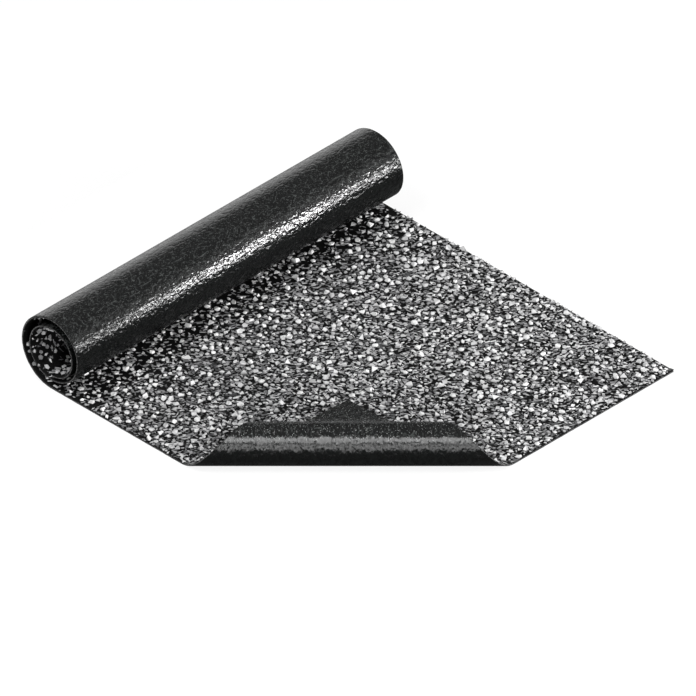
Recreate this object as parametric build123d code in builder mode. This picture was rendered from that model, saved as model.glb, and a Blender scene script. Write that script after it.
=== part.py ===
from build123d import *
from math import ceil, cos, radians, sin, sqrt
import os

# Mineral-chip roofing felt, partly unrolled. One sheet lies flat with its chips up, winds into a
# loose roll at the back, and has its front corner turned back over itself.
# Millimetres, +Z up, floor at Z = 0, X along the roll, Y from the front edge to the roll.

# The sheet
felt_width = 1000
felt_thickness = 5

# The wound end
flat_length = 910  # front edge to the line where the sheet leaves the floor
roll_radius = 92  # outside of the first half turn
turn_pitch = 22  # what the radius loses in a full turn
pitched_half_turns = 3  # half turns wound at that pitch
chip_room = 6  # under the free inner end, which lies on the turn below

# The turned-back corner, as bends of the sheet's middle line
fold_reach = 365  # corner to the fold line, along the corner's diagonal
lift_radius = 33  # where the corner leaves the floor
lift_turn = 85
face_radius = 90  # the long front of the curl
face_turn = 28
crown_radius = 34  # over the top
crown_turn = 122
settle_radius = 140  # bends the flap back until it lies nearly level
settle_turn = 50.5
section_turn = 16  # degrees of bend between two sections of the curl

# Places that follow from the sizes
front_y = -(flat_length + roll_radius) / 2
axis_y = front_y + flat_length
left_x = -felt_width / 2
fold_leg = fold_reach * sqrt(2)  # corner to the fold line, along an edge

turn_radii = [roll_radius - turn_pitch / 2 * count for count in range(pitched_half_turns)]
turn_radii.append(turn_radii[-1] - (felt_thickness + chip_room) / 2)

corner_bends = [
    (lift_radius, lift_turn),
    (face_radius, face_turn),
    (crown_radius, crown_turn),
    (-settle_radius, -settle_turn),
]

to_corner = Vector(-1, -1, 0).normalized()
across = Vector(1, -1, 0).normalized()
up = Vector(0, 0, 1)


def wound_face(height):
    """Line of the sheet's face at this height, from the front edge to the inner end."""
    run = Line((front_y, height), (axis_y, height))
    end, heading = run @ 1, run % 1
    for radius in turn_radii:
        half_turn = JernArc(end, heading, radius - height, 180)
        end, heading = half_turn @ 1, half_turn % 1
    return run @ 0, end


def along_sheet(slope):
    """Way towards the corner where the sheet has turned up by this slope."""
    return to_corner * cos(radians(slope)) + up * sin(radians(slope))


def out_of_sheet(slope):
    """Way out of the chip side there."""
    return up * cos(radians(slope)) - to_corner * sin(radians(slope))


with BuildPart() as roofing_felt:
    # The flat run and the roll are one section, as wide as the sheet.
    with BuildSketch(Plane.YZ):
        with BuildLine():
            under_front, under_end = wound_face(0)
            chip_front, chip_end = wound_face(felt_thickness)
            Line(under_front, chip_front)
            Line(under_end, chip_end)
        make_face()
    extrude(amount=felt_width / 2, both=True)

    # The corner beyond the fold line leaves the flat run.
    with BuildSketch(Plane.XY):
        with BuildLine():
            Polyline(
                (left_x, front_y),
                (left_x + fold_leg, front_y),
                (left_x, front_y + fold_leg),
                close=True,
            )
        make_face()
    extrude(amount=felt_thickness, mode=Mode.SUBTRACT)

    # It comes back as a curl. The corner is square, so each section is as wide
    # as twice the sheet that is left beyond it.
    corner = Vector(left_x, front_y, felt_thickness / 2)
    place = corner - to_corner * fold_reach
    slope = 0
    remaining = fold_reach
    for radius, turn in corner_bends:
        bend_centre = place + out_of_sheet(slope) * radius
        sections = ceil(abs(turn) / section_turn)
        for count in range(sections + 1):
            bend = turn * count / sections
            section_place = bend_centre - out_of_sheet(slope + bend) * radius
            section_plane = Plane(section_place, x_dir=across, z_dir=along_sheet(slope + bend))
            with BuildSketch(section_plane):
                Rectangle(2 * (remaining - radius * radians(bend)), felt_thickness)
        loft()
        place = bend_centre - out_of_sheet(slope + turn) * radius
        slope += turn
        remaining -= radius * radians(turn)

    # The flat tip of the flap
    with BuildSketch(Plane(place, x_dir=across, z_dir=out_of_sheet(slope))):
        with BuildLine():
            Polyline((-remaining, 0), (0, -remaining), (remaining, 0), close=True)
        make_face()
    extrude(amount=felt_thickness / 2, both=True)

roofing_felt.part.label = "roofing_felt"
os.makedirs("parts", exist_ok=True)
export_step(roofing_felt.part, "parts/roofing_felt.step")
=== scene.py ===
import math
import random

import bpy
import numpy as np
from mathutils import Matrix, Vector


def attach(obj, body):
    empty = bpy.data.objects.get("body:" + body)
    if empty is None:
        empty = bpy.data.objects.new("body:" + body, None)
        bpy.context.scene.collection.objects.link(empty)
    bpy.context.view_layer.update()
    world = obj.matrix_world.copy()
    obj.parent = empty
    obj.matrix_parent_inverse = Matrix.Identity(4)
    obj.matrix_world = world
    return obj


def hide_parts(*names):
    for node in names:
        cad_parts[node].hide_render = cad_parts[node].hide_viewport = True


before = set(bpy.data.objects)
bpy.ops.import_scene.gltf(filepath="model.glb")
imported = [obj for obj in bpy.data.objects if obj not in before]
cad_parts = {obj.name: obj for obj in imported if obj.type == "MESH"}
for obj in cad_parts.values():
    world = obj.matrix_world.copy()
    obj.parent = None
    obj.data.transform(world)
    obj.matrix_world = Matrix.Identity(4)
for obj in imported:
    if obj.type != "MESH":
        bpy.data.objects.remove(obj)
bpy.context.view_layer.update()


# How the sheet is cut, wound and turned back, in metres and degrees
feltCut = {
    "width": 1.0,
    "thickness": 0.005,
    "flatLength": 0.910,  # front edge to where the sheet leaves the floor
    "rollRadius": 0.092,  # outside of the first half turn
    "turnPitch": 0.022,
    "pitchedHalfTurns": 3,
    "chipRoom": 0.006,  # under the free inner end
    "foldReach": 0.365,  # corner to the fold line, along the diagonal
    "cornerBends": [(0.033, 85), (0.090, 28), (0.034, 122), (-0.140, -50.5)],  # radius, angle
}

halfThick = feltCut["thickness"] / 2
halfWidth = feltCut["width"] / 2
flatLength = feltCut["flatLength"]
outerRadii = [
    feltCut["rollRadius"] - feltCut["turnPitch"] / 2 * count
    for count in range(feltCut["pitchedHalfTurns"])
]
outerRadii.append(outerRadii[-1] - (feltCut["thickness"] + feltCut["chipRoom"]) / 2)
turnRadii = [radius - halfThick for radius in outerRadii]  # at the middle of the sheet
feltLength = flatLength + math.pi * sum(turnRadii)
boreStart = feltLength - math.pi * sum(turnRadii[-2:])  # the last whole turn lines the bore
frontY = -(flatLength + feltCut["rollRadius"]) / 2
axisY = frontY + flatLength
root2 = math.sqrt(2)


def clearSelection():
    if bpy.context.mode != "OBJECT":
        bpy.ops.object.mode_set(mode="OBJECT")
    bpy.ops.object.select_all(action="DESELECT")


def makeActive(piece):
    clearSelection()
    piece.select_set(True)
    bpy.context.view_layer.objects.active = piece


def selectFaces(mesh, wanted):
    mesh.vertices.foreach_set("select", np.zeros(len(mesh.vertices), dtype=bool))
    mesh.edges.foreach_set("select", np.zeros(len(mesh.edges), dtype=bool))
    mesh.polygons.foreach_set("select", wanted)
    bpy.context.tool_settings.mesh_select_mode = (False, False, True)


def applyModifier(piece, kind, **values):
    makeActive(piece)
    bpy.ops.object.modifier_add(type=kind)
    modifier = piece.modifiers[-1]
    for name, value in values.items():
        setattr(modifier, name, value)
    bpy.ops.object.modifier_apply(modifier=modifier.name)


def readTriples(items, name):
    numbers = np.empty(len(items) * 3)
    items.foreach_get(name, numbers)
    return numbers.reshape(-1, 3)


def readCounts(items, name):
    numbers = np.empty(len(items), dtype=np.int32)
    items.foreach_get(name, numbers)
    return numbers


def writePoints(mesh, points):
    mesh.vertices.foreach_set("co", points.astype(np.float32).ravel())
    mesh.update()


# Places on the flat cut as seen from the corner that is turned back
def fromCorner(across, along):
    return (across + halfWidth + along) / root2


def besideCorner(across, along):
    return (across + halfWidth - along) / root2


# Where a point of the flat cut goes: round the roll, over the fold, or on the floor
def windRoll(place, along, lift):
    start, height = flatLength, halfThick
    for count, radius in enumerate(turnRadii):
        side = 1 if count % 2 == 0 else -1  # up the back, then down the front
        centre = height + side * radius
        on = along > start
        turn = np.clip((along[on] - start) / radius, 0, math.pi)
        place[on, 1] = axisY + side * (radius - lift[on]) * np.sin(turn)
        place[on, 2] = centre - side * (radius - lift[on]) * np.cos(turn)
        start += math.pi * radius
        height = centre + side * radius


def followBends(travelled):
    out = travelled.copy()
    high = np.full(travelled.shape, halfThick)
    slope = np.zeros(travelled.shape)
    begin, startOut, startHigh, startSlope = 0.0, 0.0, halfThick, 0.0
    for radius, degrees in feltCut["cornerBends"]:
        length = radius * math.radians(degrees)
        centreOut = startOut - math.sin(startSlope) * radius
        centreHigh = startHigh + math.cos(startSlope) * radius
        on = travelled > begin
        slope[on] = startSlope + np.minimum(travelled[on] - begin, length) / radius
        out[on] = centreOut + np.sin(slope[on]) * radius
        high[on] = centreHigh - np.cos(slope[on]) * radius
        startSlope += math.radians(degrees)
        startOut = centreOut + math.sin(startSlope) * radius
        startHigh = centreHigh - math.cos(startSlope) * radius
        begin += length
    flap = np.maximum(travelled - begin, 0)  # straight on after the last bend
    return out + flap * math.cos(startSlope), high + flap * math.sin(startSlope), slope


def foldCorner(place, across, along, lift):
    diagonal = fromCorner(across, along)
    offset = besideCorner(across, along)
    folded = diagonal < feltCut["foldReach"]
    out, high, slope = followBends(feltCut["foldReach"] - diagonal[folded])
    back = feltCut["foldReach"] - out + np.sin(slope) * lift[folded]
    place[folded, 0] = -halfWidth + (back + offset[folded]) / root2
    place[folded, 1] = frontY + (back - offset[folded]) / root2
    place[folded, 2] = high + np.cos(slope) * lift[folded]


def layFelt(across, along, lift):
    across, along, lift = [np.array(v, dtype=float) for v in np.broadcast_arrays(across, along, lift)]
    place = np.stack([across, frontY + along, halfThick + lift], axis=-1)
    windRoll(place, along, lift)
    foldCorner(place, across, along, lift)
    return place


# Node helpers: an input takes either another node's output or a plain value
mixUnder, mixOver, mixResult = 6, 7, 2  # the colour sockets of a Mix node


def addNode(tree, kind, **values):
    node = tree.nodes.new(kind)
    for name, value in values.items():
        setattr(node, name, value)
    return node


def feed(tree, socket, source):
    if isinstance(source, bpy.types.NodeSocket):
        tree.links.new(source, socket)
    else:
        socket.default_value = source


def fillInputs(tree, node, **sources):
    for name, source in sources.items():
        feed(tree, node.inputs[name.replace("_", " ")], source)
    return node


def addMath(tree, operation, *terms, kind="ShaderNodeMath"):
    node = addNode(tree, kind, operation=operation)
    for socket, term in zip(node.inputs, terms):
        feed(tree, socket, term)
    return node.outputs[0]


def addRange(tree, value, ends, shares=(0.0, 1.0)):
    node = addNode(tree, "ShaderNodeMapRange")
    fillInputs(tree, node, Value=value, From_Min=ends[0], From_Max=ends[1])
    fillInputs(tree, node, To_Min=shares[0], To_Max=shares[1])
    return node.outputs["Result"]


def addMix(tree, factor, under, over, blend="MIX"):
    node = addNode(tree, "ShaderNodeMix", data_type="RGBA", blend_type=blend)
    feed(tree, node.inputs["Factor"], factor)
    feed(tree, node.inputs[mixUnder], under)
    feed(tree, node.inputs[mixOver], over)
    return node.outputs[mixResult]


def addRamp(tree, value, stops):
    node = addNode(tree, "ShaderNodeValToRGB")
    feed(tree, node.inputs["Fac"], value)
    elements = node.color_ramp.elements
    while len(elements) < len(stops):
        elements.new(0.5)
    for element, (place, colour) in zip(elements, stops):
        element.position = place
        element.color = colour
    return node.outputs["Color"]


def addTexture(tree, kind, vector, **sources):
    node = addNode(tree, "ShaderNodeTex" + kind)
    return fillInputs(tree, node, Vector=vector, **sources)


def addCoords(tree, name):
    return addNode(tree, "ShaderNodeTexCoord").outputs[name]


def addAxis(tree, vector, axis):
    node = addNode(tree, "ShaderNodeSeparateXYZ")
    return fillInputs(tree, node, Vector=vector).outputs[axis]


def addAttribute(tree, name):
    return addNode(tree, "ShaderNodeAttribute", attribute_name=name).outputs["Fac"]


def addGroup(tree, group, scale):
    node = addNode(tree, "ShaderNodeGroup", node_tree=group)
    return fillInputs(tree, node, Scale=scale).outputs


def grey(level):
    return (level, level, level, 1.0)


def greys(stops):
    return [(place, grey(level)) for place, level in stops]


def newMaterial(name):
    material = bpy.data.materials.new(name)
    material.use_nodes = True
    tree = material.node_tree
    return material, tree, tree.nodes["Principled BSDF"]


def newGroup(name, outputs):
    group = bpy.data.node_groups.new(name, "ShaderNodeTree")
    group.interface.new_socket("Scale", in_out="INPUT", socket_type="NodeSocketFloat")
    for label in outputs:
        group.interface.new_socket(label, in_out="OUTPUT", socket_type="NodeSocketFloat")
    scale = addNode(group, "NodeGroupInput").outputs["Scale"]
    return group, scale, addNode(group, "NodeGroupOutput")


def finishShader(tree, shader, look, colour, roughness, height):
    bump = addNode(tree, "ShaderNodeBump")
    strength, distance = look["bump"]
    fillInputs(tree, bump, Strength=strength, Distance=distance, Height=height)
    fillInputs(tree, shader, Base_Color=colour, Roughness=roughness, Normal=bump.outputs["Normal"])
    fillInputs(tree, shader, Specular_IOR_Level=look["specular"])


# Fine grit in the bitumen, used by the bed under the chips, the cut edge and the chips
gritLook = {
    "detail": 4.0,
    "roughness": 0.6,
}


def makeGritGroup():
    group, scale, result = newGroup("bitumenGrit", ["Grit", "Height"])
    place = addCoords(group, "Object")
    fine = addTexture(group, "Noise", place, Scale=scale)
    fillInputs(group, fine, Detail=gritLook["detail"], Roughness=gritLook["roughness"])
    cells = addTexture(group, "Voronoi", place, Scale=scale)
    height = addMath(group, "MULTIPLY", fine.outputs["Fac"], cells.outputs["Distance"])
    fillInputs(group, result, Grit=fine.outputs["Fac"], Height=height)
    return group


# The crinkles of the thin film on the underside; the map draws them out one way
crinkleLook = {
    "warpScale": 70.0,
    "warpDetail": 2.0,
    "warpReach": 0.007,  # how far the crinkles wander
    "ridgeOffset": 1.0,
    "ridgeGain": 1.0,
    "ridgeShare": 0.14,  # height of the sharp ridges beside that of the waves
    "waveDetail": 1.2,
    "waveRoughness": 0.5,
    "crestRange": (0.70, 0.97),
    "patchScale": 120.0,
    "patchDetail": 2.0,
    "patchRoughness": 0.7,
    "fleckRange": (0.48, 0.57),  # breaks the crests into flecks
    "grainScale": 400.0,
    "grainRange": (0.14, 0.26),  # from the middle of a grain to its edge
    "grainsLost": 0.25,
}


def makeCrinkleGroup():
    look = crinkleLook
    group, scale, result = newGroup("filmCrinkle", ["Height", "Patch", "Crest", "Speck"])
    flat = addCoords(group, "UV")
    warp = addTexture(group, "Noise", flat, Scale=look["warpScale"], Detail=look["warpDetail"])
    reach = (look["warpReach"], look["warpReach"], 0.0)
    pushed = addMath(group, "MULTIPLY_ADD", warp.outputs["Color"], reach, flat, kind="ShaderNodeVectorMath")
    ridges = addTexture(group, "Noise", pushed, Scale=scale, Detail=0.0)
    ridges.noise_type = "RIDGED_MULTIFRACTAL"
    fillInputs(group, ridges, Offset=look["ridgeOffset"], Gain=look["ridgeGain"])
    waves = addTexture(group, "Noise", pushed, Scale=scale)
    fillInputs(group, waves, Detail=look["waveDetail"], Roughness=look["waveRoughness"])
    height = addMath(group, "MULTIPLY_ADD", ridges.outputs["Fac"], look["ridgeShare"], waves.outputs["Fac"])
    patches = addTexture(group, "Noise", flat, Scale=look["patchScale"])
    fillInputs(group, patches, Detail=look["patchDetail"], Roughness=look["patchRoughness"])
    patch = patches.outputs["Fac"]
    line = addRange(group, ridges.outputs["Fac"], look["crestRange"])
    crest = addMath(group, "MULTIPLY", line, addRange(group, patch, look["fleckRange"]))
    dots = addTexture(group, "Voronoi", flat, Scale=look["grainScale"])
    dot = addRange(group, dots.outputs["Distance"], look["grainRange"], shares=(1.0, 0.0))
    luck = addNode(group, "ShaderNodeSeparateColor")
    fillInputs(group, luck, Color=dots.outputs["Color"])
    kept = addMath(group, "GREATER_THAN", luck.outputs["Red"], look["grainsLost"])
    speck = addMath(group, "MULTIPLY", dot, kept)
    fillInputs(group, result, Height=height, Patch=patch, Crest=crest, Speck=speck)
    return group


# Black film on the underside: glossy and crinkled all over; where it faces up it carries dust grains and
# lighter crinkle crests, painted light on its lit top
filmLook = {
    "crinkleScale": 120.0,
    "tones": [(0.42, (0.0006, 0.0008, 0.0008, 1)), (0.64, (0.0040, 0.0046, 0.0044, 1))],
    "roughness": [(0.40, 0.29), (0.60, 0.15)],
    # painted highlight on the crinkle crests
    "crestHighlight": (0.036, 0.039, 0.038, 1),
    "grainDust": (0.230, 0.240, 0.234, 1),
    "dustAndLitTop": (0.30, 0.62),  # dust and painted light on the lit top, from none to all, by how far the film faces up
    "rubbedFrom": (0.10, 0.25),  # y, between the fold and the roll
    "rubbedShares": (1.0, 0.32),  # the fold picked up more grains than the roll
    "specular": 0.28,
    "bump": (1.0, 0.0020),  # strength, distance
}


def makeFilmMaterial():
    look = filmLook
    material, tree, shader = newMaterial("underside_film")
    crinkle = addGroup(tree, crinkleGroup, look["crinkleScale"])
    tone = addRamp(tree, crinkle["Patch"], look["tones"])
    gloss = addRamp(tree, crinkle["Patch"], greys(look["roughness"]))
    litTopAndDustShare = addRange(tree, addAxis(tree, addCoords(tree, "Normal"), "Z"), look["dustAndLitTop"])
    towardsRoll = addAxis(tree, addCoords(tree, "Object"), "Y")
    rubbed = addRange(tree, towardsRoll, look["rubbedFrom"], shares=look["rubbedShares"])
    # Painted highlight: the crinkle crests are lighter where the film faces up
    paintedCrestHighlight = addMath(tree, "MULTIPLY", crinkle["Crest"], litTopAndDustShare)
    # Dust grains lie only where the film faces up: real dust, and painted light on its lit top
    grainsWhereLit = addMath(tree, "MULTIPLY", crinkle["Speck"], addMath(tree, "MULTIPLY", litTopAndDustShare, rubbed))
    crestLitTone = addMix(tree, paintedCrestHighlight, tone, look["crestHighlight"])
    dustAndPaintedLight = addMix(tree, grainsWhereLit, crestLitTone, look["grainDust"])
    finishShader(tree, shader, look, dustAndPaintedLight, gloss, crinkle["Height"])
    return material


# Bitumen between the chips
bedLook = {
    "gritScale": 420.0,
    "tones": [(0.35, 0.002), (0.7, 0.009)],
    "roughness": 0.75,
    "specular": 0.08,
    "bump": (0.8, 0.0015),
}


def makeBedMaterial():
    material, tree, shader = newMaterial("chip_bed")
    grit = addGroup(tree, gritGroup, bedLook["gritScale"])
    tone = addRamp(tree, grit["Grit"], greys(bedLook["tones"]))
    finishShader(tree, shader, bedLook, tone, bedLook["roughness"], grit["Height"])
    return material


# Cut edge: matt bitumen with the grey line of the fleece that carries it
cutLook = {
    "gritScale": 300.0,
    "tones": [(0.3, 0.005), (0.6, 0.011), (0.8, 0.03)],
    "fleeceTone": 0.20,
    "fleeceDepth": (0.18, 0.34),  # from the middle of the sheet, as a share of half its thickness
    "fibreRange": (0.38, 0.60),
    "roughness": 0.6,
    "specular": 0.2,
    "bump": (0.6, 0.0008),
}


def makeCutMaterial():
    look = cutLook
    material, tree, shader = newMaterial("cut_edge")
    grit = addGroup(tree, gritGroup, look["gritScale"])
    tone = addRamp(tree, grit["Grit"], greys(look["tones"]))
    depth = addMath(tree, "ABSOLUTE", addAttribute(tree, "sheetSide"))
    fleece = addRange(tree, depth, look["fleeceDepth"], shares=(1.0, 0.0))
    fibres = addRange(tree, grit["Grit"], look["fibreRange"])
    share = addMath(tree, "MULTIPLY", fleece, fibres)
    colour = addMix(tree, share, tone, grey(look["fleeceTone"]))
    finishShader(tree, shader, look, colour, look["roughness"], grit["Height"])
    return material


# Mineral chips: each has its own shade, from black slate to near white
chipLook = {
    "gritScale": 900.0,
    "tones": [
        (0.0, (0.018, 0.019, 0.020, 1)),
        (0.25, (0.10, 0.101, 0.104, 1)),
        (0.50, (0.28, 0.28, 0.285, 1)),
        (0.75, (0.57, 0.57, 0.575, 1)),
        (1.0, (0.88, 0.88, 0.875, 1)),
    ],
    "speckleRange": (0.3, 0.65),
    "speckleShares": (0.78, 1.0),
    "footShadeTone": 0.003,
    "footShadeRise": (0.26, 0.46),  # painted shade: the foot of each chip is darkened, from the bed up
    "roughness": 0.65,
    "specular": 0.25,
    "bump": (0.35, 0.0006),
}


def makeChipMaterial():
    look = chipLook
    material, tree, shader = newMaterial("mineral_chip")
    grit = addGroup(tree, gritGroup, look["gritScale"])
    tone = addRamp(tree, addAttribute(tree, "chipShade"), look["tones"])
    speckle = addRange(tree, grit["Grit"], look["speckleRange"], shares=look["speckleShares"])
    wear = addMath(tree, "MULTIPLY", speckle, addAttribute(tree, "facetTone"))
    stone = addMix(tree, 1.0, tone, wear, blend="MULTIPLY")
    # Painted shade darkens each chip towards its foot
    unshadedShare = addRange(tree, addAttribute(tree, "chipRise"), look["footShadeRise"])
    colour = addMix(tree, unshadedShare, grey(look["footShadeTone"]), stone)
    finishShader(tree, shader, look, colour, look["roughness"], grit["Height"])
    return material


gritGroup = makeGritGroup()
crinkleGroup = makeCrinkleGroup()
filmMaterial = makeFilmMaterial()
bedMaterial = makeBedMaterial()
cutMaterial = makeCutMaterial()
chipMaterial = makeChipMaterial()
print("materials made")


# The sheet: a flat grid of the cut size, laid, wound and folded, then thickened
feltMesh = {
    "flatCell": 0.010,
    "rollCell": 0.005,
    "cornerMargin": 0.020,  # the finer faces start this far before the fold line
    "edgeWear": 0.0005,  # how ragged the knife left the edges
    "rimBevel": 0.0007,
    "rimAngle": 60,
    "smoothAngle": 38,
    "rollDrawn": (0.70, 1.0),  # the crinkles run along the roll
    "foldDrawn": (0.90, 0.50),  # and over the fold, where they are coarser
    "seed": 11,
}


def cutGrid():
    flatRows = round(flatLength / feltMesh["flatCell"])
    rollRows = round((feltLength - flatLength) / feltMesh["rollCell"])
    clearSelection()
    bpy.ops.mesh.primitive_grid_add(
        x_subdivisions=round(feltCut["width"] / feltMesh["flatCell"]),
        y_subdivisions=flatRows + rollRows,
        size=1,
        location=(0, 0, 0),
    )
    felt = bpy.context.object
    felt.name = felt.data.name = "felt_sheet"
    points = readTriples(felt.data.vertices, "co")
    row = (points[:, 1] + 0.5) * (flatRows + rollRows)
    points[:, 0] *= feltCut["width"]
    points[:, 1] = np.where(
        row <= flatRows,
        row * flatLength / flatRows,
        flatLength + (row - flatRows) * (feltLength - flatLength) / rollRows,
    )
    writePoints(felt.data, points)
    return felt


def refineCorner(felt):
    centres = readTriples(felt.data.polygons, "center")
    diagonal = fromCorner(centres[:, 0], centres[:, 1])
    makeActive(felt)
    selectFaces(felt.data, diagonal < feltCut["foldReach"] + feltMesh["cornerMargin"])
    bpy.ops.object.mode_set(mode="EDIT")
    bpy.ops.mesh.quads_convert_to_tris(quad_method="FIXED_ALTERNATE")  # along the fold line
    bpy.ops.mesh.subdivide(number_cuts=1)
    bpy.ops.object.mode_set(mode="OBJECT")


def mapFlat(mesh, points):
    corners = readCounts(mesh.loops, "vertex_index")
    counts = readCounts(mesh.polygons, "loop_total")
    centres = np.repeat(readTriples(mesh.polygons, "center"), counts, axis=0)
    folded = fromCorner(centres[:, 0], centres[:, 1]) < feltCut["foldReach"]
    across, along = points[corners, 0], points[corners, 1]
    straight = np.stack([across, along], axis=1) * feltMesh["rollDrawn"]
    slanted = np.stack([besideCorner(across, along), fromCorner(across, along)], axis=1)
    slanted *= feltMesh["foldDrawn"]
    layer = mesh.uv_layers.active or mesh.uv_layers.new(name="flatCut")
    flat = np.where(folded[:, None], slanted, straight)
    layer.data.foreach_set("uv", flat.astype(np.float32).ravel())


def wearEdges(points):
    draws = np.random.default_rng(feltMesh["seed"])
    wear = feltMesh["edgeWear"] * draws.random(len(points))
    near = 1e-6
    points[:, 0] -= wear * (points[:, 0] > halfWidth - near)
    points[:, 0] += wear * (points[:, 0] < -halfWidth + near)
    points[:, 1] += wear * (points[:, 1] < near)
    points[:, 1] -= wear * (points[:, 1] > feltLength - near)


def markSides(mesh):
    count = len(mesh.vertices)
    sides = np.where(np.arange(count) < count // 2, 1.0, -1.0)  # the second half is the other face
    layer = mesh.attributes.new("sheetSide", "FLOAT", "POINT")
    layer.data.foreach_set("value", sides.astype(np.float32))


def makeFelt():
    felt = cutGrid()
    refineCorner(felt)
    points = readTriples(felt.data.vertices, "co")
    mapFlat(felt.data, points)
    wearEdges(points)
    writePoints(felt.data, layFelt(points[:, 0], points[:, 1], 0.0))
    for material in (bedMaterial, filmMaterial, cutMaterial):
        felt.data.materials.append(material)
    applyModifier(
        felt,
        "SOLIDIFY",
        thickness=feltCut["thickness"],
        offset=0,
        material_offset=1,  # the film
        material_offset_rim=2,  # the cut edge
    )
    markSides(felt.data)
    applyModifier(
        felt,
        "BEVEL",
        width=feltMesh["rimBevel"],
        segments=1,
        limit_method="ANGLE",
        angle_limit=math.radians(feltMesh["rimAngle"]),
    )
    bpy.ops.object.shade_smooth_by_angle(angle=math.radians(feltMesh["smoothAngle"]))
    return felt


felt = makeFelt()
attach(felt, "root")
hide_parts("roofing_felt")
print("felt sheet laid:", len(felt.data.polygons), "faces")


# Mineral chips, packed from large to small without stacking
chipSettings = {
    "seed": 64,
    # kind, half length from and to, tries per square metre, closeness, lightness from and to
    "sizes": [
        ("stone", 0.0056, 0.0080, 1400, 0.90, 0.68, 0.88),
        ("stone", 0.0042, 0.0056, 3200, 0.90, 0.44, 0.88),
        ("flake", 0.0048, 0.0080, 28000, 0.39, 0.16, 0.87),
        ("flake", 0.0030, 0.0048, 24000, 0.46, 0.11, 0.91),
    ],
    "stoneShapes": 24,
    "flakeShapes": 18,
    "flakeSeed": 100,  # the first flake's; the stones' start at 0
    "stoneSides": (3, 4, 5),  # the prisms that stones are broken from, by turns
    "flakeSides": 4,
    "stoneDepth": 1.6,
    "flakeDepth": 1.4,
    "flakeBlock": 1.6,
    "knock": (0.32, 0.35),  # how far their corners are moved, and how evenly
    "stoneFlatness": (0.40, 0.80),  # thickness as a share of length
    "flakeFlatness": (0.10, 0.20),
    "stoneNarrowness": (0.64, 1.0),  # width as a share of length
    "flakeNarrowness": (0.24, 0.48),
    "facetTone": (0.72, 1.18),  # each facet's own share of the chip's shade
    "sunk": (0.20, 0.50),  # middle above the bed, as a share of the half thickness
    "stoneTilt": 24,  # degrees
    "flakeTilt": 14,
    "flakeTurn": (-45, 34),  # which way most flakes lie, and the spread about it
    "edgeGap": 0.5,  # middles stay this share of a half length inside the edges
    "bareFrom": 0.745,  # from here to the roll the chips get fewer
    "bareTo": 0.865,
    "bareSlant": 0.04,  # sooner at the left edge
    "bareShare": {"stone": 0.35, "flake": 0.80},
    "paintedLightNearRoll": 0.60,  # and painted lighter, painted light where the roll shades them
    "paintedShadeFrom": 0.62,  # from here painted shade makes the flakes darker, towards the roll and the left edge
    "paintedShadeTo": 0.84,
    "paintedShadeSlant": 0.16,
    "paintedShadeShare": 0.28,
    "woundShare": {"stone": 0.40, "flake": 0.02},  # tries kept between the turns
    "boreShare": {"stone": 1.0, "flake": 0.14},  # and in the bore
    "paintedRollShade": (0.60, 1.05),  # painted shade: the chips there are darker
    "deepest": 0.003,  # no chip goes deeper into the sheet
    "endBand": 0.10,  # between the turns chips are laid this far in from the ends
    "boreBand": 0.25,  # and in the bore this far
    "frontReach": 0.45,  # where the front piece of the flat run ends
}


def startChip(kind, seed):
    if kind == "flake" and seed % 2 == 0:
        bpy.ops.mesh.primitive_cube_add(size=chipSettings["flakeBlock"])
    elif kind == "flake":
        sides = chipSettings["flakeSides"]
        bpy.ops.mesh.primitive_cylinder_add(vertices=sides, radius=1, depth=chipSettings["flakeDepth"])
    elif seed % 4 == 0:  # every fourth stone is a rounder one
        bpy.ops.mesh.primitive_ico_sphere_add(subdivisions=1, radius=1)
    else:
        sides = chipSettings["stoneSides"][seed % len(chipSettings["stoneSides"])]
        bpy.ops.mesh.primitive_cylinder_add(vertices=sides, radius=1, depth=chipSettings["stoneDepth"])
    return bpy.context.object


def shapeChip(kind, seed):
    clearSelection()
    stone = startChip(kind, seed)
    offset, evenness = chipSettings["knock"]
    bpy.ops.object.mode_set(mode="EDIT")
    bpy.ops.mesh.select_all(action="SELECT")
    bpy.ops.transform.vertex_random(offset=offset, uniform=evenness, seed=seed)
    bpy.ops.mesh.convex_hull(join_triangles=False)
    bpy.ops.mesh.quads_convert_to_tris()
    bpy.ops.mesh.normals_make_consistent(inside=False)
    bpy.ops.object.mode_set(mode="OBJECT")
    mesh = stone.data
    points = readTriples(mesh.vertices, "co")
    points -= (points.min(axis=0) + points.max(axis=0)) / 2
    points /= np.abs(points).max(axis=0)
    corners = np.array([face.vertices[:] for face in mesh.polygons])
    bpy.data.objects.remove(stone)
    bpy.data.meshes.remove(mesh)
    return points, corners


def nearRoll(label, across, along):
    start, end = chipSettings[label + "From"], chipSettings[label + "To"]
    slanted = along + chipSettings[label + "Slant"] * (halfWidth - across)
    return min(max((slanted - start) / (end - start), 0), 1)


def wantsChip(kind, across, along, size, luck):
    inward = halfWidth - abs(across)
    if min(inward, along, feltLength - along) < chipSettings["edgeGap"] * size:
        return False
    if along > boreStart:
        return luck < chipSettings["boreShare"][kind] and inward < chipSettings["boreBand"]
    if along > flatLength:
        return luck < chipSettings["woundShare"][kind] and inward < chipSettings["endBand"]
    return luck > chipSettings["bareShare"][kind] * nearRoll("bare", across, along)


def shadeChip(kind, across, along, shade, draws):
    # Painted shade darkens the chips between the turns and in the bore
    if along > flatLength:
        return shade * draws.uniform(*chipSettings["paintedRollShade"])
    # Painted light lifts the chips near the roll, where it shades them
    shade += (1 - shade) * chipSettings["paintedLightNearRoll"] * nearRoll("bare", across, along)
    # Painted shade darkens the flakes towards the roll and the left edge
    if kind == "flake":
        shade *= 1 - chipSettings["paintedShadeShare"] * nearRoll("paintedShade", across, along)
    return shade


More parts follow.
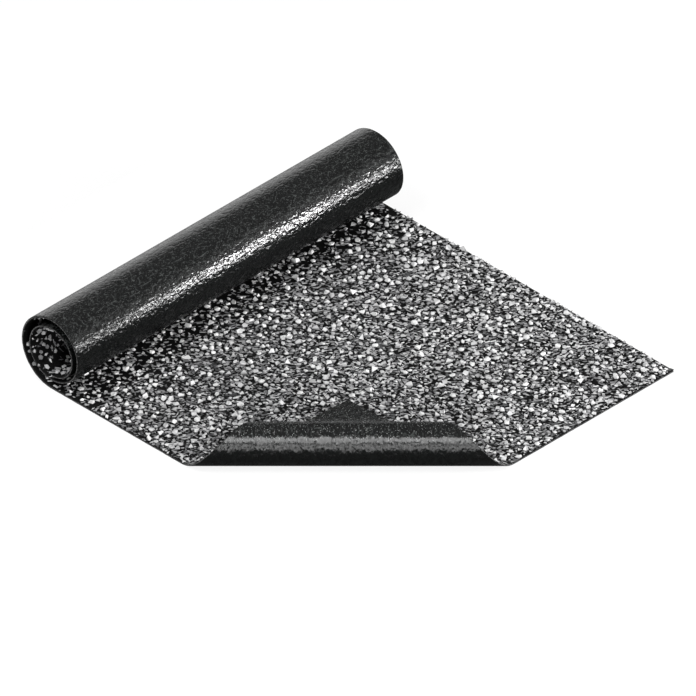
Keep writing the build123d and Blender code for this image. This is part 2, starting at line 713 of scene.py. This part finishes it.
def packChips(draws):
    cell = 2 * chipSettings["sizes"][0][2]  # as wide as the longest chip
    cells = {}
    packed = []
    area = feltCut["width"] * feltLength
    for kind, small, large, tries, closeness, dark, light in chipSettings["sizes"]:
        for _ in range(round(tries * area)):
            across = draws.uniform(-halfWidth, halfWidth)
            along = draws.uniform(0, feltLength)
            size = draws.uniform(small, large)
            if not wantsChip(kind, across, along, size, draws.random()):
                continue
            column, row = int(across // cell), int(along // cell)
            near = [
                other
                for i in (column - 1, column, column + 1)
                for j in (row - 1, row, row + 1)
                for other in cells.get((i, j), ())
            ]
            if any(
                (across - a) ** 2 + (along - b) ** 2 < (closeness * (size + c)) ** 2
                for a, b, c in near
            ):
                continue
            cells.setdefault((column, row), []).append((across, along, size))
            shade = shadeChip(kind, across, along, draws.uniform(dark, light), draws)
            packed.append((across, along, size, shade, kind == "flake"))
    return np.array(packed)


def chipFrames(across, along, turn, tilt):
    step = 1e-4
    here = layFelt(across, along, halfThick)
    out = layFelt(across, along, halfThick + step) - here
    side = layFelt(across + step, along, halfThick) - here
    out /= np.linalg.norm(out, axis=1)[:, None]
    side -= out * (side * out).sum(axis=1)[:, None]
    side /= np.linalg.norm(side, axis=1)[:, None]
    other = np.cross(out, side)
    first = side * np.cos(turn) + other * np.sin(turn)
    first, up = first * np.cos(tilt) + out * np.sin(tilt), out * np.cos(tilt) - first * np.sin(tilt)
    return here, out, np.stack([first, np.cross(up, first), up], axis=1)


def joinChips(name, chips, shapes, draws):
    across, along, size, shade, flake = chips.T
    count = len(size)
    turn = np.where(flake, draws.normal(*chipSettings["flakeTurn"], count), draws.uniform(0, 360, count))
    tilt = draws.normal(0, 1, count) * np.where(flake, chipSettings["flakeTilt"], chipSettings["stoneTilt"])
    here, out, axes = chipFrames(across, along, np.radians(turn)[:, None], np.radians(tilt)[:, None])

    def byKind(label):
        stones = draws.uniform(*chipSettings["stone" + label], count)
        return np.where(flake, draws.uniform(*chipSettings["flake" + label], count), stones)

    scale = np.stack([size, size * byKind("Narrowness"), size * byKind("Flatness")], axis=1)
    raised = scale[:, 2] * draws.uniform(*chipSettings["sunk"], count)
    stoneCount = chipSettings["stoneShapes"]
    pick = np.where(
        flake,
        stoneCount + draws.integers(0, chipSettings["flakeShapes"], count),
        draws.integers(0, stoneCount, count),
    )
    points, corners, shades, rises, first = [], [], [], [], 0
    for index, (shapePoints, shapeCorners) in enumerate(shapes):
        mine = np.flatnonzero(pick == index)
        if len(mine) == 0:
            continue
        local = shapePoints[None] * scale[mine][:, None]
        offset = np.einsum("nvk,nkx->nvx", local, axes[mine])
        height = np.einsum("nvx,nx->nv", offset, out[mine])
        lift = np.maximum(raised[mine], -chipSettings["deepest"] - height.min(axis=1))
        offset += (out[mine] * lift[:, None])[:, None]
        points.append((here[mine][:, None] + offset).reshape(-1, 3))
        rise = height + lift[:, None]
        rises.append((rise / rise.max(axis=1)[:, None]).ravel())  # 1 at the top of each chip
        starts = first + np.arange(len(mine)) * len(shapePoints)
        corners.append((shapeCorners[None] + starts[:, None, None]).reshape(-1, 3))
        shades.append(np.repeat(shade[mine], len(shapePoints)))
        first += len(mine) * len(shapePoints)
    corners = np.concatenate(corners)
    values = [
        ("chipShade", "POINT", np.concatenate(shades)),
        ("chipRise", "POINT", np.concatenate(rises)),
        ("facetTone", "FACE", draws.uniform(*chipSettings["facetTone"], len(corners))),
    ]
    return meshFromArrays(name, np.concatenate(points), corners, values)


def meshFromArrays(name, points, corners, values):
    mesh = bpy.data.meshes.new(name)
    mesh.vertices.add(len(points))
    mesh.vertices.foreach_set("co", points.astype(np.float32).ravel())
    mesh.loops.add(corners.size)
    mesh.loops.foreach_set("vertex_index", corners.astype(np.int32).ravel())
    mesh.polygons.add(len(corners))
    mesh.polygons.foreach_set("loop_start", np.arange(0, corners.size, 3, dtype=np.int32))
    mesh.update(calc_edges=True)
    mesh.validate()
    mesh.shade_flat()
    for label, domain, numbers in values:
        layer = mesh.attributes.new(label, "FLOAT", domain)
        layer.data.foreach_set("value", numbers.astype(np.float32))
    mesh.materials.append(chipMaterial)
    piece = bpy.data.objects.new(name, mesh)
    bpy.context.scene.collection.objects.link(piece)
    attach(piece, "root")
    print(name, len(corners), "triangles")
    return piece


def makeChips():
    shapes = [shapeChip("stone", seed) for seed in range(chipSettings["stoneShapes"])]
    flakeSeed = chipSettings["flakeSeed"]
    shapes += [shapeChip("flake", flakeSeed + index) for index in range(chipSettings["flakeShapes"])]
    chips = packChips(random.Random(chipSettings["seed"]))
    draws = np.random.default_rng(chipSettings["seed"])
    across, along = chips[:, 0], chips[:, 1]
    corner = fromCorner(across, along) < feltCut["foldReach"]
    flat = ~corner & (along < flatLength)
    front = along < chipSettings["frontReach"]
    zones = {
        "chips_front": flat & front,
        "chips_back": flat & ~front,
        "chips_corner": corner,
        "chips_wound": (along >= flatLength) & (along < boreStart),
        "chips_bore": along >= boreStart,
    }
    return [joinChips(name, chips[zone], shapes, draws) for name, zone in zones.items()]


chipPieces = makeChips()
print("chips laid:", sum(len(piece.data.polygons) for piece in chipPieces), "triangles")


# The floor, the studio light and the camera
stageSettings = {
    "floorSize": 30.0,
    "floorDrop": 0.0003,  # below the felt
    "floorRoughness": 0.9,
    "floorColour": 0.12,  # as the felt sees it
    "floorSeen": 0.95,  # as the camera sees it
    "floorWhite": 0.86,  # how far the floor is lifted to white for the camera
    "sky": [(0.15, 0.24), (0.60, 0.25), (0.80, 0.60)],  # sine of the height, level
    "skySeen": 1.0,
}


def mixShaders(tree, factor, first, second, output):
    mix = addNode(tree, "ShaderNodeMixShader")
    for socket, source in zip(mix.inputs, (factor, first, second)):
        feed(tree, socket, source)
    tree.links.new(mix.outputs["Shader"], tree.nodes[output].inputs["Surface"])


def makeFloor():
    clearSelection()
    place = (0, 0, -stageSettings["floorDrop"])
    bpy.ops.mesh.primitive_plane_add(size=stageSettings["floorSize"], location=place)
    floor = bpy.context.object
    floor.name = "studio_floor"
    material, tree, shader = newMaterial("studio_floor")
    seen = addNode(tree, "ShaderNodeLightPath").outputs["Is Camera Ray"]
    tones = [grey(stageSettings[name]) for name in ("floorColour", "floorSeen")]
    colour = addMix(tree, seen, *tones)
    fillInputs(tree, shader, Base_Color=colour, Roughness=stageSettings["floorRoughness"])
    white = addNode(tree, "ShaderNodeEmission")
    share = addMath(tree, "MULTIPLY", seen, stageSettings["floorWhite"])
    mixShaders(tree, share, shader.outputs["BSDF"], white.outputs["Emission"], "Material Output")
    floor.data.materials.append(material)


def makeWorld():
    world = bpy.data.worlds.new("studio")
    bpy.context.scene.world = world
    world.use_nodes = True
    tree = world.node_tree
    height = addAxis(tree, addCoords(tree, "Generated"), "Z")
    tone = addRamp(tree, height, greys(stageSettings["sky"]))
    light = fillInputs(tree, tree.nodes["Background"], Color=tone)
    white = addNode(tree, "ShaderNodeBackground")
    fillInputs(tree, white, Color=grey(stageSettings["skySeen"]))
    seen = addNode(tree, "ShaderNodeLightPath").outputs["Is Camera Ray"]
    mixShaders(tree, seen, light.outputs["Background"], white.outputs["Background"], "World Output")


lampSettings = {
    "left_key": {  # shades the chips from the left
        "aim": (0, 0, 0.05),
        "way": (-0.45, 0.25, 0.86),
        "distance": 5.0,
        "size": (2.0, 2.0),
        "radiance": 12.9,
    },
    "side_strip": {  # shades the chips from the right
        "aim": (0.33, 0.4, 0.1),
        "way": (0.577, -0.804, 0.142),
        "distance": 3.2,
        "size": (1.03, 0.37),
        "radiance": 115.0,
        "mirrored": False,
    },
    "side_glow": {  # the soft sheen above the roll's bright line
        "aim": (0.33, 0.4, 0.1),
        "way": (0.577, -0.643, 0.502),
        "distance": 4.5,
        "size": (2.2, 2.2),
        "radiance": 1.3,
    },
    "front_panel": {  # shades the chips from the front
        "aim": (-0.25, -0.25, 0.05),
        "way": (-0.683, -0.683, 0.259),
        "distance": 3.6,
        "size": (1.2, 1.93),
        "radiance": 18.0,
        "mirrored": False,
    },
    "curl_strip": {  # draws the bright band along the curl
        "aim": (-0.26, -0.26, 0.078),
        "way": (-0.641, -0.641, 0.422),
        "distance": 0.16,
        "size": (0.80, 0.092),
        "radiance": 14.5,
        "spread": 90,
        "shades": False,
    },
    "curl_foot": {  # and the weaker one below it
        "aim": (-0.26, -0.26, 0.064),
        "way": (-0.705, -0.705, -0.070),
        "distance": 0.146,
        "size": (0.80, 0.036),
        "radiance": 9.0,
        "spread": 90,
        "shades": False,
    },
    "rim_box": {  # draws the upper rim of the roll
        "aim": (0.30, 0.409, 0.23),
        "way": (0, 1, 0),
        "distance": 0.45,
        "size": (1.4, 0.44),
        "radiance": 1.1,
    },
}


# A row of small gridded boxes near the roll draws its bright line and lights nothing else
rowSettings = {
    "levels": (0.22, 0.28, 0.60, 1.10, 1.16, 0.62, 0.36),  # strongest right of the middle
    "step": 0.2,
    "aim": (0, 0.327, 0.1345),
    "way": (0.577, -0.804, 0.142),
    "distance": 0.9,
    "size": (0.1624, 0.118),
    "radiance": 220.0,
    "spread": 18,
}


def makeLamp(name, aim, way, distance, size, radiance, spread=180, shades=True, mirrored=True):
    data = bpy.data.lights.new(name, "AREA")
    data.shape = "RECTANGLE"
    data.size, data.size_y = size
    half = math.radians(spread) / 2
    data.spread = 2 * half
    gridShare = 1 - half / math.tan(half)  # a grid would brighten the lamp along its axis
    data.energy = radiance * math.pi * size[0] * size[1] * gridShare
    lamp = bpy.data.objects.new(name, data)
    lamp.location = Vector(aim) + Vector(way).normalized() * distance
    lamp.rotation_euler = Vector(way).to_track_quat("Z", "Y").to_euler()
    lamp.visible_camera = False
    lamp.visible_diffuse = shades
    lamp.visible_glossy = mirrored
    bpy.context.scene.collection.objects.link(lamp)


def makeRow(levels, step, aim, radiance, **values):
    for index, level in enumerate(levels):
        offset = (index - (len(levels) - 1) / 2) * step
        place = (aim[0] + offset, aim[1], aim[2])
        makeLamp(f"roll_line_{index + 1}", place, radiance=radiance * level, shades=False, **values)


cameraSettings = {
    "azimuth": -45.0,  # looks from the turned-back corner
    "elevation": math.degrees(math.asin(1 / math.sqrt(3))),  # isometric
    "pixelsPerMetre": 460.7,
    "picture": 696,  # pixels, square
    "cornerPixel": (348.0, 560.2),  # where the sheet's corner would lie if it were flat
    "distance": 4.0,
    "clipEnd": 50.0,
}


def makeCamera():
    data = bpy.data.cameras.new("isometric")
    data.type = "ORTHO"
    data.ortho_scale = cameraSettings["picture"] / cameraSettings["pixelsPerMetre"]
    data.clip_end = cameraSettings["clipEnd"]
    camera = bpy.data.objects.new("isometric", data)
    bpy.context.scene.collection.objects.link(camera)
    azimuth = math.radians(cameraSettings["azimuth"])
    elevation = math.radians(cameraSettings["elevation"])
    back = Vector((
        math.sin(azimuth) * math.cos(elevation),
        -math.cos(azimuth) * math.cos(elevation),
        math.sin(elevation),
    ))
    turn = back.to_track_quat("Z", "Y")
    middle = cameraSettings["picture"] / 2
    right = (middle - cameraSettings["cornerPixel"][0]) / cameraSettings["pixelsPerMetre"]
    up = (cameraSettings["cornerPixel"][1] - middle) / cameraSettings["pixelsPerMetre"]
    target = Vector((-halfWidth, frontY, 0)) + turn @ Vector((right, up, 0))
    camera.location = target + back * cameraSettings["distance"]
    camera.rotation_euler = turn.to_euler()
    bpy.context.scene.camera = camera


makeFloor()
makeWorld()
for lampName, lampValues in lampSettings.items():
    makeLamp(lampName, **lampValues)
makeRow(**rowSettings)
makeCamera()
bpy.context.scene.view_settings.view_transform = "Standard"
print("floor, light and camera set")
